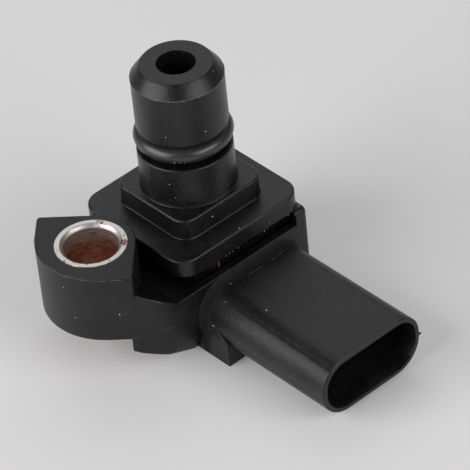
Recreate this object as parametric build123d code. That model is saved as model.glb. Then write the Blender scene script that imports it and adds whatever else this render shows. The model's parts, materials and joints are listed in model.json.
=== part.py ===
from build123d import *
import os
from math import radians, sqrt, tan

# A manifold absolute pressure sensor with one bolt ear and a three-way socket.
#
# The port's axis is Z, and +Z is the way the port points into the manifold. The origin is on
# that axis, at the foot of the collar's straight wall. The socket opens towards +X, and the
# bolt ear reaches out towards -Y. All lengths are in millimetres.
#
# The housing is one moulding: block, ear, socket and foot. A second moulding, the port cover,
# closes its chamber. The cover's skirt stands in a moat of adhesive. Inside, a ceramic board
# under gel carries the pressure die and its signal chip, and three bent strips lead out
# through the housing's wall as the socket's blades.

# Port: the collar, the ring's groove and the nose, upwards from the origin
BORE_R = 2.53
COLLAR_R = 6.24
COLLAR_H = 5.56
FOOT_FLARE_H = 0.40
FOOT_FLARE = 0.12
GROOVE_R = 3.90
GROOVE_H = 3.50
NOSE_R = 6.00
NOSE_H = 9.02
TIP_R = 4.69
TIP_CHAMFER_H = 1.68
PORT_BEVEL = 0.15

# Sealing ring: many short sides stand for its round section, which keeps its faces few
RING_SECTION = 2.56
RING_SIDES = 18
RING_SEAT_GAP = 0.02
RING_LIFT = 0.15

# Cover: two steps, hollow from below, with a skirt
STEP_X = 13.68
STEP_Y = 14.20
STEP_H = 3.00
STEP_CORNER_R = 2.20
FLANGE_H = 2.66
FLANGE_CORNER_R = 2.80
FLANGE_SIDE_IN = 0.30
FLANGE_END_IN = 0.32
TIER_BEVEL = 0.18
TIER_ROOT_BEVEL = 0.12
COVER_WALL = 1.60
SKIRT_GAP = 1.30
SKIRT_WALL = 1.30
SKIRT_H = 3.34
SKIRT_CORNER_R = 1.80
HOLLOW_CORNER_R = 0.50

# Housing block, downwards from the cover's flange
BODY_X = 20.50
BODY_FAR_Y = 10.90
BODY_CORNER_R = 1.00
COVER_GAP = 0.10
LEDGE_DROP = 2.16
LEDGE_W = 1.12
LEDGE_EDGE_R = 0.22
POST_L = 2.20
MOAT_DEPTH = 1.62
MOAT_CORNER_R = 0.90
BEAD_DEPTH = 0.80
KERB_GAP = 0.30
KERB_WALL = 0.90
KERB_DROP = 0.20
CHAMBER_DEPTH = 4.40
CHAMBER_CORNER_R = 0.80
BODY_H = 12.14
SIDE_TAPER_H = 2.90
SIDE_TAPER_IN = 1.20

# Ear: an eye-shaped pad around the bolt, with its neck towards the block
NECK_GAP = 0.51
EAR_TOP_DROP = 0.60
EAR_H = 9.85
EAR_NECK_R = 5.75
EAR_NOSE_R = 9.08
EAR_NOSE_SHIFT = 2.44
EAR_BEVEL = 0.16
EAR_CORNER_R = 0.45
FLANK_BACK = 4.04
FLANK_TIP_R = 1.50
RAMP_BACK = 4.92
RAMP_DROP = 2.90
WRENCH_R = 8.76
HORN_BACK = 2.49
HORN_ANGLE = 30.0

# Compression limiter in the ear
LIMITER_R = 4.72
LIMITER_BORE_R = 3.60
LIMITER_CHAMFER = 0.44
LIMITER_PROUD = 0.05

# Socket shroud and the foot below its root
SHROUD_REACH = 32.66
SHROUD_Y = 16.75
SHROUD_H = 8.53
SHROUD_DROP = 0.84
SHROUD_TOP_R = 3.74
SHROUD_LOW_R = 4.20
SHROUD_WALL = 1.00
SHROUD_ROOT_R = 0.80
LEAD_IN = 0.35
LEAD_IN_L = 1.20
MOUTH_BEVEL = 0.12
SOCKET_FLOOR_OUT = 4.35
FOOT_L = 4.85
FOOT_Y = 17.40
FOOT_H = 3.50
LATCH_X = 22.40
LATCH_L = 3.20
LATCH_Y = 5.60
LATCH_H = 0.50

# Terminals: strip with two bends, from a pad in the chamber to a blade in the socket
PIN_PITCH = 4.00
STRIP_T = 0.60
STRIP_W = 1.20
PAD_SETBACK = 0.20
BEND_IN = 2.35
BEND_R = 0.35
PIN_TIP_BACK = 6.20
PIN_POINT_L = 0.90
PIN_POINT_IN = 0.18
PAD_HEIGHT = 1.60
SHELF_L = 1.73

# Circuit in the chamber
BOARD_GLUE_T = 0.15
BOARD_T = 0.70
BOARD_MARGIN = 0.30
PEDESTAL_SIDE = 2.40
PEDESTAL_T = 0.90
DIE_SIDE = 2.10
DIE_T = 0.40
DIE_PIT_SIDE = 1.40
DIE_PIT_TOP = 0.86
DIE_MEMBRANE = 0.06
DIE_IN = 2.40
DIE_Y = -2.40
CHIP_X_SIZE = 2.60
CHIP_Y_SIZE = 3.00
CHIP_T = 0.35
CHIP_GLUE_T = 0.05
CHIP_Y = 1.70
CAP_L = 2.00
CAP_W = 1.25
CAP_H = 0.90
CAP_IN = 2.40
LEAD_WIRE_T = 0.28
LEAD_WIRE_RISE = 0.45
LEAD_WIRE_IN = 0.50
LEAD_WIRE_BACK = 0.60
CHIP_WIRE_T = 0.10
CHIP_WIRE_RISE = 0.30
CHIP_WIRE_PITCH = 0.40
CHIP_WIRE_COUNT = 4
CHIP_WIRE_IN = 0.20
GEL_DEPTH = 2.45

TERMINALS = ("supply", "ground", "signal")
PIN_PLACES = (PIN_PITCH, 0.0, -PIN_PITCH)

# Levels that follow from the sizes above
PORT_TOP = COLLAR_H + GROOVE_H + NOSE_H
STEP_TOP = -FOOT_FLARE_H
FLANGE_TOP = STEP_TOP - STEP_H
FLANGE_UNDER = FLANGE_TOP - FLANGE_H
WALL_TOP = FLANGE_UNDER - COVER_GAP
LEDGE_TOP = FLANGE_UNDER - LEDGE_DROP
MOAT_FLOOR = LEDGE_TOP - MOAT_DEPTH
SKIRT_END = FLANGE_UNDER - SKIRT_H
KERB_TOP = LEDGE_TOP - KERB_DROP
CHAMBER_FLOOR = LEDGE_TOP - CHAMBER_DEPTH
BODY_BOTTOM = FLANGE_UNDER - BODY_H
EAR_TOP = STEP_TOP - EAR_TOP_DROP
EAR_BOTTOM = EAR_TOP - EAR_H
RAMP_HIGH = EAR_TOP - RAMP_DROP
SHROUD_TOP = LEDGE_TOP - SHROUD_DROP
SHROUD_Z = SHROUD_TOP - SHROUD_H / 2
PAD_TOP = CHAMBER_FLOOR + PAD_HEIGHT
BOARD_BASE = CHAMBER_FLOOR + BOARD_GLUE_T
BOARD_TOP = BOARD_BASE + BOARD_T
PEDESTAL_TOP = BOARD_TOP + PEDESTAL_T
DIE_TOP = PEDESTAL_TOP + DIE_T
CHIP_BASE = BOARD_TOP + CHIP_GLUE_T
CHIP_TOP = CHIP_BASE + CHIP_T
BEAD_TOP = MOAT_FLOOR + BEAD_DEPTH
GEL_TOP = CHAMBER_FLOOR + GEL_DEPTH

# Plan sizes that follow from the sizes above
BODY_SIDE = BODY_X / 2
FLANGE_X = BODY_X - 2 * FLANGE_SIDE_IN
FLANGE_Y = 2 * (BODY_FAR_Y - FLANGE_END_IN)
MOAT_X = BODY_X - 2 * LEDGE_W
MOAT_Y = 2 * (BODY_FAR_Y - LEDGE_W)
SKIRT_X = MOAT_X - 2 * SKIRT_GAP
SKIRT_Y = MOAT_Y - 2 * SKIRT_GAP
KERB_X = SKIRT_X - 2 * (SKIRT_WALL + KERB_GAP)
KERB_Y = SKIRT_Y - 2 * (SKIRT_WALL + KERB_GAP)
CHAMBER_X = KERB_X - 2 * KERB_WALL
CHAMBER_Y = KERB_Y - 2 * KERB_WALL
EAR_Y = -(FLANGE_Y / 2 + NECK_GAP + EAR_NECK_R)
FLANK_Y = EAR_Y + FLANK_BACK
RAMP_Y = EAR_Y + RAMP_BACK
HORN_Y = EAR_Y + HORN_BACK
ROOT_HALF = sqrt(0.5)
EAR_TIP_X = ((EAR_NECK_R + EAR_NOSE_R) / ROOT_HALF - EAR_NOSE_SHIFT) / 2
EAR_TIP_Y = EAR_NECK_R / ROOT_HALF + EAR_Y - EAR_TIP_X
FOOT_TOP = BODY_BOTTOM + FOOT_H
SOCKET_FLOOR_X = BODY_SIDE + SOCKET_FLOOR_OUT
PIN_TIP_X = SHROUD_REACH - PIN_TIP_BACK
BEND_X = BODY_SIDE - BEND_IN
SHELF_X = CHAMBER_X / 2 - SHELF_L
PAD_START_X = SHELF_X + PAD_SETBACK
BOARD_START_X = BOARD_MARGIN - CHAMBER_X / 2
BOARD_END_X = SHELF_X - BOARD_MARGIN
DIE_X = BOARD_START_X + DIE_IN
CAP_X = BOARD_END_X - CAP_IN
BIG = 4 * (SHROUD_REACH - EAR_Y)
NEAR = 0.001


def slab(face, low, high):
    """A flat face, drawn at z = 0, made into a solid between two levels."""
    return extrude(Pos(0, 0, low) * face, amount=high - low)


def brick(x0, x1, y0, y1, z0, z1):
    """A block between two corners, used only to cut and to trim."""
    middle = Pos((x0 + x1) / 2, (y0 + y1) / 2, (z0 + z1) / 2)
    return middle * Box(x1 - x0, y1 - y0, z1 - z0)


def ear_face():
    """The ear's plan: a neck arc and a nose arc, joined by tangents at 45 degrees."""
    neck = EAR_NECK_R * ROOT_HALF
    nose = EAR_NOSE_R * ROOT_HALF
    nose_y = EAR_Y + EAR_NOSE_SHIFT
    neck_left = (-neck, EAR_Y + neck)
    neck_right = (neck, EAR_Y + neck)
    nose_left = (-nose, nose_y - nose)
    nose_right = (nose, nose_y - nose)
    tip_left = (-EAR_TIP_X, EAR_TIP_Y)
    tip_right = (EAR_TIP_X, EAR_TIP_Y)
    outline = ThreePointArc(neck_left, (0, EAR_Y + EAR_NECK_R), neck_right)
    outline += Line(neck_right, tip_right)
    outline += Line(tip_right, nose_right)
    outline += ThreePointArc(nose_right, (0, nose_y - EAR_NOSE_R), nose_left)
    outline += Line(nose_left, tip_left)
    outline += Line(tip_left, neck_left)
    return make_face(outline)


def block_face(inset=0.0):
    """The block's plan, with flanks that curve in to the ear's two tips."""
    side = BODY_SIDE - inset
    far = BODY_FAR_Y - inset
    tip_x = EAR_TIP_X - inset
    corner = BODY_CORNER_R - min(inset, BODY_CORNER_R / 2)
    bend = corner * (1 - ROOT_HALF)
    outline = Line((-side, FLANK_Y), (-side, far - corner))
    outline += ThreePointArc((-side, far - corner), (bend - side, far - bend), (corner - side, far))
    outline += Line((corner - side, far), (side - corner, far))
    outline += ThreePointArc((side - corner, far), (side - bend, far - bend), (side, far - corner))
    outline += Line((side, far - corner), (side, FLANK_Y))
    outline += TangentArc((side, FLANK_Y), (tip_x, EAR_TIP_Y), tangent=(0, -1))
    outline += Line((tip_x, EAR_TIP_Y), (-tip_x, EAR_TIP_Y))
    outline += TangentArc((-side, FLANK_Y), (-tip_x, EAR_TIP_Y), tangent=(0, -1))
    return make_face(outline)


def outline_face():
    """The housing's whole plan, block and ear, with the corners at the ear's tips eased."""
    plan = block_face() + ear_face()
    tips = [v for v in plan.vertices() if abs(v.Y - EAR_TIP_Y) < NEAR]
    return fillet(tips, FLANK_TIP_R)


def below_slope(y0, z0, y1, z1):
    """All that lies under the plane through two points of the YZ plane."""
    low = z0 - BIG
    corners = [(y0, z0), (y1, z1), (y1, low), (y0, low)]
    return extrude(Plane.YZ * make_face(Polyline(*corners, close=True)), amount=BIG, both=True)


def port():
    """The turned port without its bore: foot, collar, ring groove, nose and chamfered tip."""
    groove_high = COLLAR_H + GROOVE_H
    buried = STEP_TOP - COVER_WALL / 2
    edge = Polyline(
        (0, buried),
        (COLLAR_R + FOOT_FLARE, buried),
        (COLLAR_R + FOOT_FLARE, STEP_TOP),
        (COLLAR_R, 0),
        (COLLAR_R, COLLAR_H - PORT_BEVEL),
        (COLLAR_R - PORT_BEVEL, COLLAR_H),
        (GROOVE_R, COLLAR_H),
        (GROOVE_R, groove_high),
        (NOSE_R - PORT_BEVEL, groove_high),
        (NOSE_R, groove_high + PORT_BEVEL),
        (NOSE_R, PORT_TOP - TIP_CHAMFER_H),
        (TIP_R, PORT_TOP),
        (0, PORT_TOP),
        close=True,
    )
    return revolve(Plane.XZ * make_face(edge), Axis.Z)


def on_step_root(point):
    """Whether a point lies on the line where the cover's step meets its flange."""
    inside = abs(point.X) < STEP_X / 2 + NEAR and abs(point.Y) < STEP_Y / 2 + NEAR
    return inside and abs(point.Z - FLANGE_TOP) < NEAR


def cover_shell():
    """The port cover: a turned port on two steps, hollow inside, with a skirt below."""
    flange_plan = RectangleRounded(FLANGE_X, FLANGE_Y, FLANGE_CORNER_R)
    flange = slab(flange_plan, FLANGE_UNDER, FLANGE_TOP)
    flange = chamfer(flange.faces().sort_by(Axis.Z)[-1].edges(), TIER_BEVEL)
    flange = chamfer(flange.faces().sort_by(Axis.Z)[0].edges(), TIER_BEVEL)
    step_plan = RectangleRounded(STEP_X, STEP_Y, STEP_CORNER_R)
    step = slab(step_plan, FLANGE_TOP - COVER_WALL / 2, STEP_TOP)
    step = chamfer(step.faces().sort_by(Axis.Z)[-1].edges(), TIER_BEVEL)
    tiers = flange + step
    root = tiers.edges().filter_by(lambda e: on_step_root(e.center()))
    tiers = chamfer(root, TIER_ROOT_BEVEL)
    skirt = slab(RectangleRounded(SKIRT_X, SKIRT_Y, SKIRT_CORNER_R), SKIRT_END, FLANGE_UNDER)
    wide = 2 * SKIRT_WALL
    hollow = RectangleRounded(SKIRT_X - wide, SKIRT_Y - wide, HOLLOW_CORNER_R)
    hollow = slab(hollow, SKIRT_END, FLANGE_TOP - COVER_WALL)
    wide = 2 * COVER_WALL
    dome = RectangleRounded(STEP_X - wide, STEP_Y - wide, HOLLOW_CORNER_R)
    dome = slab(dome, SKIRT_END, STEP_TOP - COVER_WALL)
    bore = slab(Circle(BORE_R), SKIRT_END, PORT_TOP)
    return tiers + port() + skirt - hollow - dome - bore


def sealing_ring():
    """The rubber ring in the port's groove."""
    centre_r = GROOVE_R + RING_SEAT_GAP + RING_SECTION / 2
    centre_z = COLLAR_H + GROOVE_H / 2 + RING_LIFT
    section = Pos(centre_r, centre_z) * RegularPolygon(RING_SECTION / 2, RING_SIDES)
    return revolve(Plane.XZ * section, Axis.Z)


def terminal(y):
    """One strip: a pad in the chamber, two right-angle bends and a pointed blade."""
    blade_top = SHROUD_Z + STRIP_T / 2
    blade_low = SHROUD_Z - STRIP_T / 2
    blade_end = PIN_TIP_X - PIN_POINT_L
    pad_low = PAD_TOP - STRIP_T
    low_turn = BEND_X - STRIP_T
    edge = Polyline(
        (PAD_START_X, PAD_TOP),
        (BEND_X, PAD_TOP),
        (BEND_X, blade_top),
        (blade_end, blade_top),
        (blade_end, blade_low),
        (low_turn, blade_low),
        (low_turn, pad_low),
        (PAD_START_X, pad_low),
        close=True,
    )
    profile = make_face(edge)
    turns = profile.vertices()
    wide = [v for v in turns if (v.X, v.Y) in ((BEND_X, PAD_TOP), (low_turn, blade_low))]
    profile = fillet(wide, BEND_R + STRIP_T)
    turns = profile.vertices()
    tight = [v for v in turns if (v.X, v.Y) in ((low_turn, pad_low), (BEND_X, blade_top))]
    profile = fillet(tight, BEND_R)
    strip = extrude(Plane.XZ * profile, amount=STRIP_W / 2, both=True)
    base = Plane.YZ.offset(blade_end) * Pos(0, SHROUD_Z) * Rectangle(STRIP_W, STRIP_T)
    point = Rectangle(STRIP_W - 2 * PIN_POINT_IN, STRIP_T - 2 * PIN_POINT_IN)
    point = Plane.YZ.offset(PIN_TIP_X) * Pos(0, SHROUD_Z) * point
    strip += loft([base.face(), point.face()])
    return Pos(0, y, 0) * strip


def shroud_face(inset=0.0):
    """The socket's section, nearly a stadium, drawn about the blades' level."""
    width = SHROUD_Y - 2 * inset
    height = SHROUD_H - 2 * inset
    plan = Rectangle(width, height)
    upper = plan.vertices().group_by(Axis.Y)[-1]
    plan = fillet(upper, SHROUD_TOP_R - inset)
    lower = plan.vertices().group_by(Axis.Y)[0]
    return fillet(lower, SHROUD_LOW_R - inset)


def at_x(x, face):
    """A face moved to a plane across X, with the blades' level at its middle."""
    return Plane.YZ.offset(x) * Pos(0, SHROUD_Z) * face


def shroud_root(shroud):
    """The rounded root between the shroud and the wall, from the foot up to the ledge's edge."""
    side = SHROUD_Y / 2 + SHROUD_ROOT_R
    plate = brick(BODY_SIDE - LEDGE_W, BODY_SIDE, -BIG, BIG, -BIG, BIG)
    joined = plate + shroud
    seam = joined.edges().filter_by(lambda e: on_shroud_seam(e.center()))
    joined = fillet(seam, SHROUD_ROOT_R)
    reach = BODY_SIDE + SHROUD_ROOT_R
    high = LEDGE_TOP - LEDGE_EDGE_R
    return joined & brick(BODY_SIDE - LEDGE_W, reach, -side, side, FOOT_TOP, high)


def on_shroud_seam(point):
    """Whether a point lies on the line where the shroud meets the block's side."""
    inside = abs(point.Y) < SHROUD_Y and abs(point.Z - SHROUD_Z) < SHROUD_H
    return inside and abs(point.X - BODY_SIDE) < NEAR


def socket():
    """The shroud and the foot below its root, as solid forms before the socket is cut."""
    root = BODY_SIDE - LEDGE_W
    shroud = extrude(at_x(root, shroud_face()), amount=SHROUD_REACH - root)
    shroud = chamfer(shroud.faces().sort_by(Axis.X)[-1].edges(), MOUTH_BEVEL)
    shroud += shroud_root(shroud)
    foot = brick(root, BODY_SIDE + FOOT_L, -FOOT_Y / 2, FOOT_Y / 2, BODY_BOTTOM, FOOT_TOP)
    low = SHROUD_TOP - SHROUD_H
    ramp = [(LATCH_X, low - LATCH_H), (LATCH_X + LATCH_L, low), (LATCH_X + LATCH_L, low + LATCH_H)]
    ramp += [(LATCH_X, low + LATCH_H)]
    latch = extrude(Plane.XZ * make_face(Polyline(*ramp, close=True)), amount=LATCH_Y / 2, both=True)
    return shroud + foot + latch


def socket_hollow():
    """The space that the plug enters, with a wider lead-in at the mouth."""
    inner = shroud_face(SHROUD_WALL)
    hollow = extrude(at_x(SOCKET_FLOOR_X, inner), amount=SHROUD_REACH - SOCKET_FLOOR_X)
    narrow = at_x(SHROUD_REACH - LEAD_IN_L, inner)
    wide = at_x(SHROUD_REACH, shroud_face(SHROUD_WALL - LEAD_IN))
    return hollow + loft([narrow.face(), wide.face()])


def lower_block():
    """The block under the ledge: upright walls, a tapered base and horns under the ear."""
    taper_top = BODY_BOTTOM + SIDE_TAPER_H
    block = slab(outline_face(), taper_top, LEDGE_TOP)
    base = loft([(Pos(0, 0, BODY_BOTTOM) * block_face(SIDE_TAPER_IN)).face(),
                 (Pos(0, 0, taper_top) * block_face()).face()])
    rise = BIG * tan(radians(HORN_ANGLE))
    slope = below_slope(HORN_Y + BIG, taper_top - rise, HORN_Y - BIG, taper_top + rise)
    wrench = Pos(0, EAR_Y, EAR_BOTTOM - BODY_H / 2) * Cylinder(WRENCH_R, BODY_H)
    return block + base - slope - wrench


def ramp():
    """The slope that rises from the ledge to the ear's two tips, as wide as the block."""
    high = slab(outline_face(), LEDGE_TOP, RAMP_HIGH)
    slope = below_slope(RAMP_Y, LEDGE_TOP, EAR_TIP_Y, RAMP_HIGH)
    return high & slope & brick(-BIG, BIG, -BIG, RAMP_Y, LEDGE_TOP, RAMP_HIGH)


def ear():
    """The bolt ear, full height, with its corners rounded and its top edge bevelled."""
    pad = slab(ear_face(), EAR_BOTTOM, EAR_TOP)
    tips = pad.edges().filter_by(Axis.Z).filter_by(lambda e: abs(e.center().Y - EAR_TIP_Y) < NEAR)
    pad = fillet(tips, EAR_CORNER_R)
    return chamfer(pad.faces().sort_by(Axis.Z)[-1].edges(), EAR_BEVEL)


def far_wall():
    """The high wall at the far end, with a post at each of its corners."""
    ring = slab(block_face(), LEDGE_TOP, WALL_TOP)
    ring -= slab(RectangleRounded(MOAT_X, MOAT_Y, MOAT_CORNER_R), LEDGE_TOP, WALL_TOP)
    far = brick(-BIG, BIG, BODY_FAR_Y - POST_L, BIG, LEDGE_TOP, WALL_TOP)
    return ring & far


def moat():
    """The groove around the chamber that takes the cover's skirt and its adhesive."""
    outer = slab(RectangleRounded(MOAT_X, MOAT_Y, MOAT_CORNER_R), MOAT_FLOOR, LEDGE_TOP)
    kerb = slab(RectangleRounded(KERB_X, KERB_Y, CHAMBER_CORNER_R), MOAT_FLOOR, KERB_TOP)
    return outer - kerb


def chamber():
    """The circuit's chamber, less the shelf that carries the terminals' pads."""
    room = slab(RectangleRounded(CHAMBER_X, CHAMBER_Y, CHAMBER_CORNER_R), CHAMBER_FLOOR, LEDGE_TOP)
    pad_low = PAD_TOP - STRIP_T
    shelf = brick(SHELF_X, CHAMBER_X, -CHAMBER_Y, CHAMBER_Y, CHAMBER_FLOOR, pad_low)
    return room - shelf


def strips():
    """All three terminals."""
    return [terminal(y) for y in PIN_PLACES]


def main_housing():
    """The whole lower moulding."""
    solid = lower_block() + ramp() + far_wall()
    ledge = [e for e in solid.edges().filter_by(Axis.Y) if on_ledge_edge(e.center())]
    solid = fillet(ledge, LEDGE_EDGE_R)
    solid += ear()
    solid += socket()
    solid -= moat()
    solid -= chamber()
    solid -= socket_hollow()
    solid -= Pos(0, EAR_Y, EAR_TOP - EAR_H / 2) * Cylinder(LIMITER_R, 2 * EAR_H)
    for strip in strips():
        solid -= strip
    return solid


def on_ledge_edge(point):
    """Whether a point lies on the outer edge of one of the two side ledges."""
    return abs(abs(point.X) - BODY_SIDE) < NEAR and abs(point.Z - LEDGE_TOP) < NEAR


def compression_limiter():
    """The steel sleeve that carries the bolt's load through the ear."""
    low = EAR_BOTTOM - LIMITER_PROUD
    high = EAR_TOP + LIMITER_PROUD
    lip = LIMITER_BORE_R + LIMITER_CHAMFER
    edge = Polyline(
        (LIMITER_R, low),
        (LIMITER_R, high),
        (lip, high),
        (LIMITER_BORE_R, high - LIMITER_CHAMFER),
        (LIMITER_BORE_R, low + LIMITER_CHAMFER),
        (lip, low),
        close=True,
    )
    return Pos(0, EAR_Y, 0) * revolve(Plane.XZ * make_face(edge), Axis.Z)


def cover_adhesive():
    """The bead that fills the moat around the skirt and under it."""
    outer = slab(RectangleRounded(MOAT_X, MOAT_Y, MOAT_CORNER_R), MOAT_FLOOR, BEAD_TOP)
    kerb = slab(RectangleRounded(KERB_X, KERB_Y, CHAMBER_CORNER_R), MOAT_FLOOR, BEAD_TOP)
    return outer - kerb - cover_shell()


def board_plan(low, high):
    """The board's block between the chamber's far wall and the terminals' shelf."""
    side = CHAMBER_Y / 2 - BOARD_MARGIN
    return brick(BOARD_START_X, BOARD_END_X, -side, side, low, high)


def stack(size_x, size_y, x, y, low, high):
    """A square-edged piece of the circuit, standing on a level."""
    return brick(x - size_x / 2, x + size_x / 2, y - size_y / 2, y + size_y / 2, low, high)


def pressure_die():
    """The silicon die, its pit etched up from below to a thin membrane."""
    block = stack(DIE_SIDE, DIE_SIDE, DIE_X, DIE_Y, PEDESTAL_TOP, DIE_TOP)
    low = Pos(DIE_X, DIE_Y, PEDESTAL_TOP) * Rectangle(DIE_PIT_SIDE, DIE_PIT_SIDE)
    high = Pos(DIE_X, DIE_Y, DIE_TOP - DIE_MEMBRANE) * Rectangle(DIE_PIT_TOP, DIE_PIT_TOP)
    return block - loft([low.face(), high.face()])


def capacitor(y):
    """One chip capacitor on the board."""
    return stack(CAP_L, CAP_W, CAP_X, y, BOARD_TOP, BOARD_TOP + CAP_H)


def bond_wire(start, end, peak, thick):
    """A wire up from one pad, across and down on another, square to keep its faces few."""
    over_start = Vector(start.X, start.Y, peak)
    over_end = Vector(end.X, end.Y, peak)
    path = Polyline(start, over_start, over_end, end)
    section = Plane(start, z_dir=(0, 0, 1)) * Rectangle(thick, thick)
    return sweep(section, path=path, transition=Transition.RIGHT)


def lead_wire(y):
    """The heavy wire from a terminal's pad to the board."""
    start = Vector(PAD_START_X + LEAD_WIRE_IN, y, PAD_TOP)
    end = Vector(BOARD_END_X - LEAD_WIRE_BACK, y, BOARD_TOP)
    return bond_wire(start, end, PAD_TOP + LEAD_WIRE_RISE, LEAD_WIRE_T)


def chip_wires():
    """Fine wires from the die to the signal chip."""
    wires = []
    for step in range(CHIP_WIRE_COUNT):
        x = DIE_X + (step - (CHIP_WIRE_COUNT - 1) / 2) * CHIP_WIRE_PITCH
        start = Vector(x, DIE_Y + DIE_SIDE / 2 - CHIP_WIRE_IN, DIE_TOP)
        end = Vector(x, CHIP_Y - CHIP_Y_SIZE / 2 + CHIP_WIRE_IN, CHIP_TOP)
        wires.append(bond_wire(start, end, DIE_TOP + CHIP_WIRE_RISE, CHIP_WIRE_T))
    return Compound(children=wires)


def circuit():
    """Every piece of the circuit, by name."""
    pieces = {
        "board_adhesive": board_plan(CHAMBER_FLOOR, BOARD_BASE),
        "ceramic_board": board_plan(BOARD_BASE, BOARD_TOP),
        "glass_pedestal": stack(PEDESTAL_SIDE, PEDESTAL_SIDE, DIE_X, DIE_Y, BOARD_TOP, PEDESTAL_TOP),
        "pressure_die": pressure_die(),
        "chip_adhesive": stack(CHIP_X_SIZE, CHIP_Y_SIZE, DIE_X, CHIP_Y, BOARD_TOP, CHIP_BASE),
        "signal_chip": stack(CHIP_X_SIZE, CHIP_Y_SIZE, DIE_X, CHIP_Y, CHIP_BASE, CHIP_TOP),
        "chip_bond_wires": chip_wires(),
    }
    for name, y in zip(TERMINALS, PIN_PLACES):
        pieces[f"bond_wire_{name}"] = lead_wire(y)
        pieces[f"capacitor_{name}"] = capacitor(y)
    return pieces


def protective_gel(covered):
    """The soft gel that fills the chamber over the circuit, but not the die's sealed pit."""
    gel = chamber() & brick(-BIG, BIG, -BIG, BIG, CHAMBER_FLOOR, GEL_TOP)
    for piece in covered:
        for solid in piece.solids():
            gel -= solid
    return gel.solids().sort_by(SortBy.VOLUME)[-1]


def main():
    os.makedirs("parts", exist_ok=True)
    nodes = {
        "port_cover": cover_shell(),
        "o_ring": sealing_ring(),
        "main_housing": main_housing(),
        "compression_limiter": compression_limiter(),
        "cover_adhesive": cover_adhesive(),
    }
    terminals = {f"terminal_{name}": strip for name, strip in zip(TERMINALS, strips())}
    inside = circuit()
    nodes.update(terminals)
    nodes.update(inside)
    nodes["protective_gel"] = protective_gel(list(terminals.values()) + list(inside.values()))
    for name, shape in nodes.items():
        export_step(shape, f"parts/{name}.step")


main()
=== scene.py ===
import json
import math
import random

import bpy
from mathutils import Matrix, Vector


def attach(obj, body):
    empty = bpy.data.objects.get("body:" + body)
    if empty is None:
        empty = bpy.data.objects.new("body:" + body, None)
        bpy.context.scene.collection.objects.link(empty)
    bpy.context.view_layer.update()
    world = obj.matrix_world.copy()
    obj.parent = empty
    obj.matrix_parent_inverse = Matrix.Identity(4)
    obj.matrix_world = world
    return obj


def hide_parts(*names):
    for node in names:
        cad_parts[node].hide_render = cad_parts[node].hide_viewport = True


# The looks of a manifold absolute pressure sensor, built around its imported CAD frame.
# Lengths are in metres, but the paths, places and sizes of small pieces are in millimetres.
# The port's axis is Z, the socket opens towards +X and the bolt ear lies towards -Y, as in
# the frame.

MM = 0.001

# The photograph's camera, fitted to the sensor's circles and straight edges
CAMERA_PLACE = (0.28558, -0.22368, 0.28663)
CAMERA_UP = (-0.4251, 0.4773, 0.7691)
CAMERA_BACK = (0.6020, -0.4854, 0.6340)
LENS = 275.74
SENSOR = 36.0

# The studio. The floor lies a hair below the sensor's base.
FLOOR_Z = -18.22 * MM
FLOOR_SIZE = 6.0
FLOOR_PAPER = (0.78, 0.77, 0.77, 1)
FLOOR_GLOW = 0.09
ROOM_LEVEL = 0.15
LAMP_DISTANCE = 0.6
SOFTBOXES = (
    # name, direction and rise in degrees, width and height in degrees, brightness
    ("left_softbox", -106, 25, 54, 42, 3.5),
    ("right_softbox", 10, 31, 44, 30, 3.2),
    ("pale_wall", 138, 42, 60, 44, 0.80),
)

# The rubber ring. Its centre line is the frame's, and its seam reaches as far as the solid.
RING_CENTRE_R = 5.20 * MM
RING_CENTRE_Z = 7.46 * MM
RING_SECTION_R = 1.26 * MM
RING_SEAM = 0.02 * MM
RING_SQUEEZE = 0.92
RING_SECTION_SIDES = 28
RING_TURN_STEPS = 128

# The block's wall that the socket's shroud leaves, and the sleeve's distance from the port's axis
SHROUD_ROOT_X = 10.25 * MM
SLEEVE_OUT = 16.84 * MM

# The sleeve's stained bore gives way to its bright end between these two levels
STAINED_BELOW = -1.5 * MM
BRIGHT_ABOVE = -1.1 * MM

# The shoulder of the port's chamfered tip, in mm
SHOULDER_R = 6.0
SHOULDER_Z = 16.40

# The crumbs of adhesive in the moat under the cover's edge, in mm
MOAT_CRUMBS = 120
MOAT_FIRST_Y = -7.9
MOAT_STEP = 0.148
MOAT_TOP_Z = -6.75
MOAT_DEPTH = 1.1

# How finely each pattern repeats, per metre
GRAIN_SCALE = 4200
MOTTLE_SCALE = 1300
SMEAR_SCALE = 260
COARSE_DUST_SCALE = 800
FINE_DUST_SCALE = 2100
GREASE_SCALE = 500
STAIN_SCALE = 620
TURNING_SCALE = 1000
SCRATCH_SCALE = 3600
RUBBER_SKIN_SCALE = 2200
PLAIN_SCALE = 1600

# Colours of the finishes
BLACK_PLASTIC = (0.0040, 0.0041, 0.0042, 1)
PLASTIC_DUST = (0.26, 0.25, 0.23, 1)
DRY_RUBBER = (0.016, 0.016, 0.016, 1)
GREASED_RUBBER = (0.032, 0.032, 0.033, 1)
BARE_BORE = (0.36, 0.32, 0.30, 1)
COPPERY_BORE = (0.30, 0.105, 0.068, 1)
BRIGHT_TURNING = (0.62, 0.29, 0.20, 1)
DARK_TURNING = (0.10, 0.035, 0.022, 1)
TURNED_END = (0.70, 0.67, 0.64, 1)
RUST = (0.16, 0.065, 0.035, 1)

# Angles in degrees: where edges are eased, rounded or left crisp, and what counts as flat
EASED_FROM = 35
ROUNDED_FROM = 30
COPY_CRISP_FROM = 40
PIECE_CRISP_FROM = 50
FLAT_WITHIN = 0.3

# Points closer than this are one, in a copied mesh and in a new one
COPY_DOUBLED = 0.002 * MM
PIECE_DOUBLED = 0.0005 * MM

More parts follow.
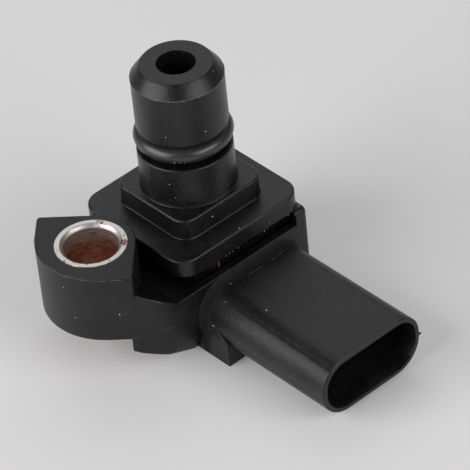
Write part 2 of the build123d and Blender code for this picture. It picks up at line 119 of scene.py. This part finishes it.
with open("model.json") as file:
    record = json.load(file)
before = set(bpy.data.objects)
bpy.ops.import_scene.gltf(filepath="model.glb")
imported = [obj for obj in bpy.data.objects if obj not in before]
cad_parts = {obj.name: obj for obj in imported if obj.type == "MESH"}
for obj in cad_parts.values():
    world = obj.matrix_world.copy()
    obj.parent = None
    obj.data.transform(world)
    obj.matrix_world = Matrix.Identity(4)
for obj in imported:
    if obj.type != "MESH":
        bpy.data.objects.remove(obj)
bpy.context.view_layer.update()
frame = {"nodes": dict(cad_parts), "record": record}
nodes = frame["nodes"]


class Channel:
    """A socket's value in a material, which can be added, scaled and compared."""

    def __init__(self, tree, socket):
        self.tree = tree
        self.socket = socket

    def put(self, target, value):
        """Links a value to a socket, or writes a plain number or colour on it."""
        if isinstance(value, Channel):
            self.tree.links.new(value.socket, target)
        else:
            target.default_value = value

    def node(self, kind, settings=None, sockets=None, output=0):
        """Any node: its settings first, then the values or links of its sockets."""
        made = self.tree.nodes.new(kind)
        for name, setting in (settings or {}).items():
            setattr(made, name, setting)
        for name, value in (sockets or {}).items():
            self.put(made.inputs[name], value)
        return Channel(self.tree, made.outputs[output])

    def maths(self, operation, first, second=0.0, clamp=False):
        settings = {"operation": operation, "use_clamp": clamp}
        return self.node("ShaderNodeMath", settings, {0: first, 1: second})

    def __add__(self, other):
        return self.maths("ADD", self, other)

    __radd__ = __add__

    def __mul__(self, other):
        return self.maths("MULTIPLY", self, other)

    __rmul__ = __mul__

    def __rsub__(self, other):
        return self.maths("SUBTRACT", other, self)

    def __lt__(self, other):
        return self.maths("LESS_THAN", self, other)

    def clamped(self):
        return self.maths("ADD", self, 0.0, clamp=True)

    def ramp(self, low, high):
        """0 up to low, 1 from high, smooth between them."""
        settings = {"interpolation_type": "SMOOTHSTEP"}
        sockets = {"Value": self, "From Min": low, "From Max": high}
        return self.node("ShaderNodeMapRange", settings, sockets)


def start(name):
    """A new material: its place in Object coordinates, and its main shader's node."""
    material = bpy.data.materials.new(name)
    material.use_nodes = True
    tree = material.node_tree
    shader = tree.nodes["Principled BSDF"]
    coordinates = tree.nodes.new("ShaderNodeTexCoord")
    return material, Channel(tree, coordinates.outputs["Object"]), shader


def noise(place, scale, detail=3.0, roughness=0.55):
    sockets = {"Vector": place, "Scale": scale, "Detail": detail, "Roughness": roughness}
    return place.node("ShaderNodeTexNoise", None, sockets)


def specks(place, scale, size, share):
    """Small round marks: 1 inside a speck, with only some of the cells holding one."""
    cell = place.node("ShaderNodeTexVoronoi", None, {"Vector": place, "Scale": scale})
    pick = place.node("ShaderNodeTexVoronoi", None, {"Vector": place, "Scale": scale}, output="Color")
    chosen = place.node("ShaderNodeSeparateColor", None, {"Color": pick})
    return (cell < size) * (chosen < share)


def blend(first, second, factor, place):
    """A colour between two, by a factor."""
    return place.node("ShaderNodeMixRGB", None, {"Fac": factor, "Color1": first, "Color2": second})


def relief(place, height, depth, strength):
    """A fine surface relief, as a new normal."""
    return place.node("ShaderNodeBump", None, {"Strength": strength, "Distance": depth, "Height": height})


def shroud_root(place):
    """1 in the crease where the socket's shroud leaves the block."""
    along = place.node("ShaderNodeSeparateXYZ", None, {"Vector": place})
    begins = along.ramp(SHROUD_ROOT_X, SHROUD_ROOT_X + 0.15 * MM)
    ends = along.ramp(SHROUD_ROOT_X + 0.65 * MM, SHROUD_ROOT_X + 1.95 * MM)
    return begins * (1.0 - ends)


def moulded_plastic(name, base, rough, dust, dull=None):
    """Black glass-filled plastic: a moulded grain, faint smears, a little dust, one duller place."""
    material, place, shader = start(name)
    grain = noise(place, GRAIN_SCALE, roughness=0.6)
    mottle = noise(place, MOTTLE_SCALE)
    smear = noise(place, SMEAR_SCALE, roughness=0.6)
    pale = tuple(2.6 * c + 0.003 for c in base[:3]) + (1,)
    paler = (0.4 * smear + 0.3 * mottle + 0.4 * grain).ramp(0.47, 0.70)
    colour = blend(base, pale, paler, place)
    mark = specks(place, COARSE_DUST_SCALE, 0.050, dust) + specks(place, FINE_DUST_SCALE, 0.075, dust)
    colour = blend(colour, PLASTIC_DUST, mark.clamped(), place)
    place.put(shader.inputs["Base Color"], colour)
    gloss = rough - 0.06 + 0.08 * smear + 0.06 * mottle
    place.put(shader.inputs["Roughness"], gloss + 0.45 * dull(place) if dull else gloss)
    shader.inputs["Specular IOR Level"].default_value = 0.42
    place.put(shader.inputs["Normal"], relief(place, grain + 0.9 * mottle, 0.05 * MM, 0.70))
    return material


def seal_rubber():
    """Smooth moulded rubber with a thin film of grease."""
    material, place, shader = start("seal_rubber_look")
    film = noise(place, GREASE_SCALE, roughness=0.6)
    place.put(shader.inputs["Base Color"], blend(DRY_RUBBER, GREASED_RUBBER, film, place))
    place.put(shader.inputs["Roughness"], 0.24 + 0.12 * film)
    shader.inputs["Specular IOR Level"].default_value = 0.65
    place.put(shader.inputs["Normal"], relief(place, noise(place, RUBBER_SKIN_SCALE), 0.02 * MM, 0.3))
    return material


def sleeve_metal():
    """Turned steel: a bright end flecked with rust, and a coppery bore with fine turning marks."""
    material, place, shader = start("sleeve_metal_look")
    level = place.node("ShaderNodeSeparateXYZ", None, {"Vector": place}, output="Z")
    on_axis = {"Vector": place, "Location": (0, SLEEVE_OUT, 0), "Scale": (1, 1, 0)}
    centred = place.node("ShaderNodeMapping", None, on_axis)
    reach = place.node("ShaderNodeVectorMath", {"operation": "LENGTH"}, {0: centred}, output="Value")
    stretched = place.node("ShaderNodeMapping", None, {"Vector": place, "Scale": (1.0, 1.0, 9.0)})
    stain = noise(place, STAIN_SCALE, 4.0, 0.7)
    turning = noise(stretched, TURNING_SCALE, 4.0, 0.7)
    face = level.ramp(STAINED_BELOW, BRIGHT_ABOVE)
    depth = (level + 3.2 * MM * stain + 1.6 * MM * turning).ramp(0.2 * MM, -1.7 * MM)
    bore = blend(BARE_BORE, COPPERY_BORE, depth, place)
    bore = blend(bore, BRIGHT_TURNING, turning.ramp(0.50, 0.66), place)
    bore = blend(bore, DARK_TURNING, 0.7 * turning.ramp(0.47, 0.36), place)
    flecks = stain.ramp(0.60, 0.64) * 0.85
    rim = 0.8 * reach.ramp(4.60 * MM, 4.72 * MM) * stain.ramp(0.42, 0.56)
    end = blend(TURNED_END, RUST, (flecks + rim).clamped(), place)
    place.put(shader.inputs["Base Color"], blend(bore, end, face, place))
    shader.inputs["Metallic"].default_value = 1.0
    place.put(shader.inputs["Roughness"], 0.50 - 0.20 * face + 0.16 * turning)
    scratches = turning + 0.4 * noise(place, SCRATCH_SCALE)
    place.put(shader.inputs["Normal"], relief(place, scratches, 0.05 * MM, 0.6))
    return material


def simple(name, base, rough, metallic=0.0, fleck=None, transmission=0.0, specular=0.5):
    """A plain finish whose colour and gloss vary a little over the piece."""
    material, place, shader = start(name)
    change = noise(place, PLAIN_SCALE)
    fleck = fleck or tuple(min(1.0, 1.25 * c) for c in base[:3]) + (1,)
    place.put(shader.inputs["Base Color"], blend(base, fleck, change.ramp(0.4, 0.7), place))
    place.put(shader.inputs["Roughness"], rough - 0.04 + 0.10 * change)
    shader.inputs["Metallic"].default_value = metallic
    shader.inputs["Transmission Weight"].default_value = transmission
    shader.inputs["Specular IOR Level"].default_value = specular
    return material


HOUSING = moulded_plastic("housing_plastic_look", BLACK_PLASTIC, 0.40, 0.05, shroud_root)
COVER = moulded_plastic("cover_plastic_look", BLACK_PLASTIC, 0.32, 0.07)
RUBBER = seal_rubber()
SLEEVE = sleeve_metal()
ADHESIVE = simple("dark_adhesive_look", (0.0028, 0.0026, 0.0026, 1), 0.80, specular=0.15)
AMBER_FLECK = (0.048, 0.010, 0.005, 1)
AMBER = simple("amber_adhesive_look", (0.020, 0.004, 0.0025, 1), 0.80, fleck=AMBER_FLECK, specular=0.10)
# Pale grey: the colour of whitish adhesive crumbs and a streak, and on the port's shoulder ridge a
# painted highlight
PALE_CRUMB_AND_HIGHLIGHT = simple("pale_crumb_and_highlight_look", (0.10, 0.10, 0.10, 1), 0.45, fleck=(0.26, 0.25, 0.24, 1))
# Ridges of moulding flash; their grey colour, paler than the black plastic, is a painted highlight along
# the lines
FLASH_WITH_PAINTED_HIGHLIGHT = simple("flash_painted_highlight_look", (0.060, 0.060, 0.060, 1), 0.34, fleck=(0.13, 0.13, 0.125, 1))
DUST = simple("settled_dust_look", (0.50, 0.49, 0.46, 1), 0.80)
LOOKS = {
    "cover_plastic": COVER,
    "housing_plastic": HOUSING,
    "seal_rubber": RUBBER,
    "sleeve_steel": SLEEVE,
    "dark_adhesive": ADHESIVE,
    "tinned_copper": simple("tinned_copper_look", (0.62, 0.58, 0.52, 1), 0.30, metallic=1.0),
    "white_alumina": simple("white_alumina_look", (0.72, 0.71, 0.68, 1), 0.55),
    "clear_glass": simple("clear_glass_look", (0.80, 0.86, 0.84, 1), 0.08, transmission=0.9),
    "silicon": simple("silicon_look", (0.13, 0.15, 0.19, 1), 0.14, metallic=0.6),
    "bond_wire_metal": simple("bond_wire_look", (0.80, 0.80, 0.81, 1), 0.25, metallic=1.0),
    "capacitor_ceramic": simple("capacitor_look", (0.36, 0.24, 0.14, 1), 0.50),
    "clear_gel": simple("clear_gel_look", (0.62, 0.64, 0.63, 1), 0.12, transmission=0.85),
}


def only(piece):
    """Selects one object and nothing else."""
    bpy.ops.object.select_all(action="DESELECT")
    piece.select_set(True)
    bpy.context.view_layer.objects.active = piece


def paint(piece, material):
    piece.data.materials.clear()
    piece.data.materials.append(material)


def apply(piece, kind, **settings):
    """Adds one modifier and applies it."""
    only(piece)
    modifier = piece.modifiers.new(kind.title(), kind)
    for name, value in settings.items():
        setattr(modifier, name, value)
    bpy.ops.object.modifier_apply(modifier=modifier.name)


def soften(piece, holds, width, segments):
    """Rounds the sharp edges whose two ends both pass a test of their place in mm."""
    only(piece)
    bpy.context.tool_settings.mesh_select_mode = (False, True, False)
    bpy.ops.object.mode_set(mode="EDIT")
    bpy.ops.mesh.select_all(action="DESELECT")
    bpy.ops.mesh.edges_select_sharp(sharpness=math.radians(ROUNDED_FROM))
    bpy.ops.object.mode_set(mode="OBJECT")
    points = piece.data.vertices
    wanted = [
        edge.select and all(holds(points[end].co / MM) for end in edge.vertices)
        for edge in piece.data.edges
    ]
    bpy.ops.object.mode_set(mode="EDIT")
    bpy.ops.mesh.select_all(action="DESELECT")
    bpy.ops.object.mode_set(mode="OBJECT")
    piece.data.edges.foreach_set("select", wanted)
    bpy.ops.object.mode_set(mode="EDIT")
    bpy.ops.mesh.bevel(offset=width, segments=segments, clamp_overlap=True)
    bpy.ops.object.mode_set(mode="OBJECT")


def merge_near(piece, holds, distance):
    """Merges the points that pass a test of their place in mm and nearly touch."""
    only(piece)
    bpy.context.tool_settings.mesh_select_mode = (True, False, False)
    bpy.ops.object.mode_set(mode="EDIT")
    bpy.ops.mesh.select_all(action="DESELECT")
    bpy.ops.object.mode_set(mode="OBJECT")
    for point in piece.data.vertices:
        point.select = holds(point.co / MM)
    bpy.ops.object.mode_set(mode="EDIT")
    bpy.ops.mesh.remove_doubles(threshold=distance)
    bpy.ops.object.mode_set(mode="OBJECT")


def copied(node, name):
    """A copy of a CAD piece's mesh, its doubled points merged and its flats made whole."""
    piece = bpy.data.objects.new(name, nodes[node].data.copy())
    bpy.context.collection.objects.link(piece)
    only(piece)
    bpy.ops.mesh.customdata_custom_splitnormals_clear()
    bpy.ops.object.mode_set(mode="EDIT")
    bpy.ops.mesh.select_all(action="SELECT")
    bpy.ops.mesh.remove_doubles(threshold=COPY_DOUBLED)
    bpy.ops.mesh.dissolve_limited(angle_limit=math.radians(FLAT_WITHIN))
    bpy.ops.object.mode_set(mode="OBJECT")
    return piece


def ease(piece, width, segments):
    """Rounds all the sharp edges of a piece a little."""
    angle = math.radians(EASED_FROM)
    apply(piece, "BEVEL", width=width, segments=segments, limit_method="ANGLE", angle_limit=angle)


def dressed(piece, node, slot, edge):
    """Eases a copied piece's edges and puts it in the CAD piece's place."""
    ease(piece, edge, segments=3)
    only(piece)
    bpy.ops.object.shade_smooth_by_angle(angle=math.radians(COPY_CRISP_FROM))
    apply(piece, "WEIGHTED_NORMAL", keep_sharp=True, weight=80)
    paint(piece, LOOKS[slot])
    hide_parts(node)
    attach(piece, "root")


def settle(piece, name, look):
    """Finishes a new piece: its place goes into its mesh, and it joins the frame."""
    only(piece)
    bpy.ops.object.transform_apply(location=True, rotation=True, scale=True)
    bpy.ops.object.mode_set(mode="EDIT")
    bpy.ops.mesh.select_all(action="SELECT")
    bpy.ops.mesh.remove_doubles(threshold=PIECE_DOUBLED)
    bpy.ops.mesh.normals_make_consistent(inside=False)
    bpy.ops.object.mode_set(mode="OBJECT")
    bpy.ops.object.shade_smooth_by_angle(angle=math.radians(PIECE_CRISP_FROM))
    piece.name = name
    paint(piece, look)
    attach(piece, "root")


def moulded_ring():
    """The rubber ring, spun from its slightly flattened section, with a seam at its widest."""
    bpy.ops.object.select_all(action="DESELECT")
    bpy.ops.mesh.primitive_circle_add(
        vertices=RING_SECTION_SIDES,
        radius=RING_SECTION_R,
        location=(RING_CENTRE_R, 0, RING_CENTRE_Z),
        rotation=(math.radians(90), 0, 0),
    )
    ring = bpy.context.object
    bpy.ops.object.transform_apply(location=True, rotation=True, scale=True)
    bpy.ops.object.mode_set(mode="EDIT")
    bpy.ops.mesh.select_all(action="SELECT")
    centre = (RING_CENTRE_R, 0, RING_CENTRE_Z)
    bpy.ops.transform.resize(value=(1, 1, RING_SQUEEZE), center_override=centre)
    bpy.ops.mesh.select_all(action="DESELECT")
    bpy.ops.object.mode_set(mode="OBJECT")
    widest = RING_CENTRE_R + 0.999 * RING_SECTION_R
    for point in ring.data.vertices:
        point.select = point.co.x > widest
    bpy.ops.object.mode_set(mode="EDIT")
    bpy.ops.transform.translate(value=(RING_SEAM, 0, 0))
    bpy.ops.mesh.select_all(action="SELECT")
    bpy.ops.mesh.spin(steps=RING_TURN_STEPS, angle=math.tau, center=(0, 0, 0), axis=(0, 0, 1))
    bpy.ops.object.mode_set(mode="OBJECT")
    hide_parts("o_ring")
    settle(ring, "moulded_seal_ring", RUBBER)


def model_crumb():
    """One irregular crumb, modelled once: a ball with its points pushed about."""
    bpy.ops.object.select_all(action="DESELECT")
    bpy.ops.mesh.primitive_ico_sphere_add(subdivisions=2, radius=0.5, location=(0, 0, 0))
    crumb = bpy.context.object
    bpy.ops.object.mode_set(mode="EDIT")
    bpy.ops.mesh.select_all(action="SELECT")
    bpy.ops.transform.vertex_random(offset=0.20, seed=7)
    bpy.ops.object.mode_set(mode="OBJECT")
    return crumb


def scatter(name, look, crumbs, seed, turned=True):
    """Copies of the crumb, each with its own place and size in mm, as one piece."""
    model = model_crumb()
    chance = random.Random(seed)
    copies = []
    for place, size in crumbs:
        only(model)
        bpy.ops.object.duplicate(linked=False)
        crumb = bpy.context.object
        crumb.location = Vector(place) * MM
        crumb.scale = [extent * chance.uniform(0.85, 1.15) * MM for extent in size]
        if turned:
            crumb.rotation_euler = [chance.uniform(0, math.tau) for _ in range(3)]
        copies.append(crumb)
    bpy.data.objects.remove(model)
    bpy.ops.object.select_all(action="DESELECT")
    for crumb in copies:
        crumb.select_set(True)
    bpy.context.view_layer.objects.active = copies[0]
    bpy.ops.object.join()
    settle(bpy.context.object, name, look)


def between(points, count):
    """Places at even steps along a line of points."""
    lengths = [(Vector(b) - Vector(a)).length for a, b in zip(points, points[1:])]
    whole = sum(lengths)
    places = []
    for step in range(count + 1):
        left = whole * step / count
        for (a, b), length in zip(zip(points, points[1:]), lengths):
            if left <= length or (a, b) == (points[-2], points[-1]):
                places.append(Vector(a).lerp(Vector(b), min(1.0, left / length)))
                break
            left -= length
    return places


def ridge(name, look, points, count, thick, seed):
    """A thin uneven line, extruded along a path in mm: moulding flash, and edge lines that are painted
    highlights.
    """
    chance = random.Random(seed)
    places = between(points, count)
    first = (places[1] - places[0]).normalized()
    bpy.ops.object.select_all(action="DESELECT")
    bpy.ops.mesh.primitive_circle_add(
        vertices=6,
        radius=thick * MM,
        fill_type="NGON",
        location=places[0] * MM,
        rotation=first.to_track_quat("Z", "Y").to_euler(),
    )
    line = bpy.context.object
    bpy.ops.object.transform_apply(location=True, rotation=True, scale=True)
    bpy.ops.object.mode_set(mode="EDIT")
    bpy.ops.mesh.select_all(action="SELECT")
    size = 1.0
    for here, there in zip(places, places[1:]):
        wanted = chance.uniform(0.35, 1.3)
        bpy.ops.mesh.extrude_region_move(TRANSFORM_OT_translate={"value": (there - here) * MM})
        bpy.ops.transform.resize(value=[wanted / size] * 3)
        size = wanted
    bpy.ops.object.mode_set(mode="OBJECT")
    settle(line, name, look)


def on_ear_tip(place):
    """Whether a point lies where the ear's two tips run into the block's flanks."""
    return 8.9 < abs(place.x) < 9.32 and -18.4 < place.y < -17.7 and place.z < -3.5


def on_ramp_side(place):
    """Whether a point lies on the upper edge of a flank, between the ledge and the ear."""
    return abs(place.x) > 8.8 and -17.9 < place.y < -9.0 and -8.3 < place.z < -3.8


def on_post_rim(place):
    """Whether a point lies on the outer top edge of a far post."""
    return place.z > -6.2 and place.y > 8.6 and (abs(place.x) > 9.3 or place.y > 9.95)


def moat_adhesive():
    """Crumbs of adhesive along the moat on the socket's side, most of them near its top."""
    chance = random.Random(41)
    crumbs = []
    for step in range(MOAT_CRUMBS):
        along = MOAT_FIRST_Y + step * MOAT_STEP
        depth = chance.uniform(0.0, 1.0) ** 2
        spot = (chance.uniform(8.5, 9.1), along, MOAT_TOP_Z - MOAT_DEPTH * depth)
        crumbs.append((spot, [chance.uniform(0.18, 0.55) for _ in range(3)]))
    return crumbs


def foot_gussets():
    """The slanted webs that carry the foot's two sides up into the shroud's root."""
    bpy.ops.object.select_all(action="DESELECT")
    bpy.ops.mesh.primitive_plane_add(size=1.0, location=(0, 0, 0))
    web = bpy.context.object
    corners = [
        (10.25, -8.70, -14.72), (15.10, -8.70, -14.72), (12.6, -8.36, -13.0), (10.25, -8.36, -12.3),
    ]
    for point, corner in zip((0, 1, 3, 2), corners):
        web.data.vertices[point].co = Vector(corner) * MM
    bpy.ops.object.mode_set(mode="EDIT")
    bpy.ops.mesh.select_all(action="SELECT")
    bpy.ops.mesh.subdivide(number_cuts=3)
    bpy.ops.mesh.extrude_region_move(TRANSFORM_OT_translate={"value": (0, 0.6 * MM, 0)})
    bpy.ops.mesh.select_all(action="SELECT")
    bpy.ops.mesh.duplicate()
    bpy.ops.transform.resize(value=(1, -1, 1), center_override=(0, 0, 0))
    bpy.ops.object.mode_set(mode="OBJECT")
    ease(web, 0.06 * MM, segments=2)
    settle(web, "foot_gussets", HOUSING)


housing = copied("main_housing", "moulded_housing")
merge_near(housing, on_ear_tip, distance=0.16 * MM)
soften(housing, on_ramp_side, width=0.22 * MM, segments=3)
soften(housing, on_post_rim, width=0.95 * MM, segments=6)
dressed(housing, "main_housing", "housing_plastic", edge=0.10 * MM)
cover = copied("port_cover", "moulded_port_cover")
dressed(cover, "port_cover", "cover_plastic", edge=0.09 * MM)
sleeve = copied("compression_limiter", "turned_sleeve")
dressed(sleeve, "compression_limiter", "sleeve_steel", edge=0.05 * MM)
moulded_ring()
foot_gussets()

# Lines of moulding flash, coloured paler than the plastic as painted highlights, and along the ear's top
# edge and the ramp's edge lines that are painted highlights only: each path in mm, its number of steps,
# its thickness in mm and its seed
shoulder = [
    (SHOULDER_R * math.cos(math.radians(turn)), SHOULDER_R * math.sin(math.radians(turn)), SHOULDER_Z)
    for turn in range(-150, 61, 6)
]
# A flash ridge at the chamfer's shoulder whose pale colour is a painted highlight along the edge
ridge("port_shoulder_flash_and_highlight", PALE_CRUMB_AND_HIGHLIGHT, shoulder, 150, 0.045, 3)
housing_flash_and_highlights = {
    "shroud_seam_flash": ([(15.3, -8.37, -13.25), (32.4, -8.37, -13.25)], 110, 0.035, 5),
    "shroud_root_flash_near": ([(12.0, -1.6, -9.06), (12.04, 0.7, -9.06)], 16, 0.045, 11),
    "shroud_root_flash_far": ([(12.07, 2.4, -9.06), (11.9, 4.9, -9.06)], 16, 0.040, 12),
    "ear_seam_flash": ([
        (8.52, -18.72, -10.55), (9.29, -17.87, -10.6), (9.72, -16.59, -10.73),
        (10.04, -15.20, -10.94), (10.22, -13.70, -11.31), (10.25, -12.73, -11.58),
    ], 60, 0.035, 21),
    # A painted highlight along the ear's rounded top edge, not flash
    "ear_edge_painted_highlight": ([
        (-1.40, -23.42, -1.15), (1.64, -23.30, -1.15), (4.37, -22.34, -1.13), (5.85, -21.30, -1.11),
        (7.28, -19.88, -1.11), (8.50, -18.62, -1.10), (9.00, -17.93, -1.11),
    ], 90, 0.055, 23),
    # A painted highlight along the ramp's rounded edge, not flash
    "ramp_edge_painted_highlight": ([
        (9.08, -17.75, -4.00), (9.71, -16.66, -4.83), (10.01, -15.37, -5.80), (10.14, -14.57, -6.58),
    ], 44, 0.060, 24),
    "base_seam_flash": ([(10.25, -11.96, -15.14), (10.25, -9.3, -15.28)], 24, 0.03, 22),
}
for name, (path, steps, thick, seed) in housing_flash_and_highlights.items():
    ridge(name, FLASH_WITH_PAINTED_HIGHLIGHT, path, steps, thick, seed)

# Dust, crumbs and smears: each place and size in mm
dust_places = [
    ((1.85, -23.28, -3.14), 0.17), ((7.72, -19.52, -6.65), 0.17), ((3.02, -22.96, -7.66), 0.15),
    ((5.89, -1.14, 10.79), 0.16), ((2.91, -5.24, 10.71), 0.16), ((6.84, -2.27, -1.79), 0.20),
    ((2.93, -5.51, 3.30), 0.12), ((3.45, -5.20, 1.27), 0.10), ((9.66, -0.36, -3.40), 0.15),
    ((9.95, 4.43, -5.21), 0.13), ((18.81, -4.78, -9.07), 0.19), ((11.53, -4.27, -9.06), 0.13),
    ((13.10, -6.65, -9.66), 0.12), ((12.29, -8.38, -13.06), 0.26), ((12.35, -8.38, -14.0), 0.12),
    ((9.44, 10.00, -6.16), 0.22), ((32.5, -7.9, -13.3), 0.20), ((4.90, 1.90, 18.01), 0.10),
]
dust = [(place, (size,) * 3) for place, size in dust_places]
scatter("settled_dust", DUST, dust, 31)

scatter("moat_adhesive_crumbs", ADHESIVE, moat_adhesive(), 42)
pale_places = [
    ((9.75, -3.1, -6.15), 0.26), ((9.75, -2.5, -6.12), 0.26), ((9.72, -1.9, -6.14), 0.16),
    ((9.75, -1.0, -6.14), 0.24), ((9.75, 3.55, -6.13), 0.25), ((9.72, 4.2, -6.14), 0.14),
    ((9.72, 7.8, -6.12), 0.26), ((9.6, 9.8, -6.10), 0.34), ((9.3, 10.0, -6.25), 0.22),
    ((3.93, -5.08, 7.10), 0.17), ((4.51, -4.58, 7.10), 0.18), ((4.85, -4.21, 7.08), 0.15),
]
pale_crumbs = [(place, (size,) * 3) for place, size in pale_places]
scatter("pale_adhesive_crumbs", PALE_CRUMB_AND_HIGHLIGHT, pale_crumbs, 51)
burr = [((32.35, 8.50, -13.7), (0.35, 0.75, 0.40))]
scatter("mouth_burr", HOUSING, burr, 71)
amber = [
    ((8.8, -4.95, -7.32), (0.6, 1.0, 0.42)), ((8.8, -4.35, -7.25), (0.6, 0.9, 0.50)),
    ((8.8, -3.65, -7.22), (0.6, 0.55, 0.70)), ((8.9, -3.25, -7.05), (0.5, 0.40, 0.62)),
]
scatter("amber_adhesive_smear", AMBER, amber, 61, turned=False)
streak = [((9.12, -3.92, -7.42), (0.16, 0.26, 0.85))]
scatter("whitened_adhesive_streak", PALE_CRUMB_AND_HIGHLIGHT, streak, 62, turned=False)

# The CAD nodes that keep their own meshes get their slots' looks
for part in frame["record"]["subparts"]:
    paint(nodes[part["node"]], LOOKS[part["material_slot"]])


def make_floor():
    """A pale paper floor, which keeps the sensor's shadow and is a little brighter to the eye."""
    bpy.ops.object.select_all(action="DESELECT")
    bpy.ops.mesh.primitive_grid_add(
        size=FLOOR_SIZE, x_subdivisions=8, y_subdivisions=8, location=(0, 0, FLOOR_Z)
    )
    floor = bpy.context.object
    floor.name = "studio_floor"
    material, place, shader = start("studio_floor_paper")
    shader.inputs["Base Color"].default_value = FLOOR_PAPER
    shader.inputs["Roughness"].default_value = 0.9
    shader.inputs["Specular IOR Level"].default_value = 0.1
    seen = place.node("ShaderNodeLightPath", output="Is Camera Ray")
    mirrored = place.node("ShaderNodeLightPath", output="Is Glossy Ray")
    through = place.node("ShaderNodeLightPath", output="Is Transmission Ray")
    glow = blend((0, 0, 0, 1), (1, 1, 1, 1), (seen + mirrored + through).clamped(), place)
    place.put(shader.inputs["Emission Color"], glow)
    shader.inputs["Emission Strength"].default_value = FLOOR_GLOW
    paint(floor, material)


def softbox(name, turn, rise, wide, high, radiance):
    """A soft lamp that faces the sensor, placed and sized in degrees as the sensor sees it."""
    lamp = bpy.data.lights.new(name, "AREA")
    lamp.shape = "RECTANGLE"
    lamp.size = 2 * LAMP_DISTANCE * math.tan(math.radians(wide / 2))
    lamp.size_y = 2 * LAMP_DISTANCE * math.tan(math.radians(high / 2))
    lamp.energy = radiance * math.pi * lamp.size * lamp.size_y
    piece = bpy.data.objects.new(name, lamp)
    bpy.context.collection.objects.link(piece)
    level = math.cos(math.radians(rise))
    out = Vector((
        level * math.cos(math.radians(turn)),
        level * math.sin(math.radians(turn)),
        math.sin(math.radians(rise)),
    ))
    piece.location = out * LAMP_DISTANCE
    piece.rotation_euler = out.to_track_quat("Z", "Y").to_euler()


def light():
    """Two softboxes in front, a dim pale wall behind and a dark room, as the highlights show."""
    world = bpy.data.worlds.new("studio_room")
    bpy.context.scene.world = world
    world.use_nodes = True
    room = world.node_tree.nodes["Background"]
    room.inputs["Color"].default_value = (1, 1, 1, 1)
    room.inputs["Strength"].default_value = ROOM_LEVEL
    for lamp in SOFTBOXES:
        softbox(*lamp)


def camera():
    """The photograph's own view."""
    lens = bpy.data.cameras.new("photo_camera")
    lens.lens = LENS
    lens.sensor_width = SENSOR
    lens.clip_start = 0.01
    lens.clip_end = 50.0
    piece = bpy.data.objects.new("photo_camera", lens)
    bpy.context.collection.objects.link(piece)
    back = Vector(CAMERA_BACK).normalized()
    right = Vector(CAMERA_UP).cross(back).normalized()
    up = back.cross(right)
    turned = Matrix((right, up, back)).transposed().to_4x4()
    piece.matrix_world = Matrix.Translation(CAMERA_PLACE) @ turned
    bpy.context.scene.camera = piece


make_floor()
light()
camera()
bpy.context.scene.view_settings.view_transform = "Standard"
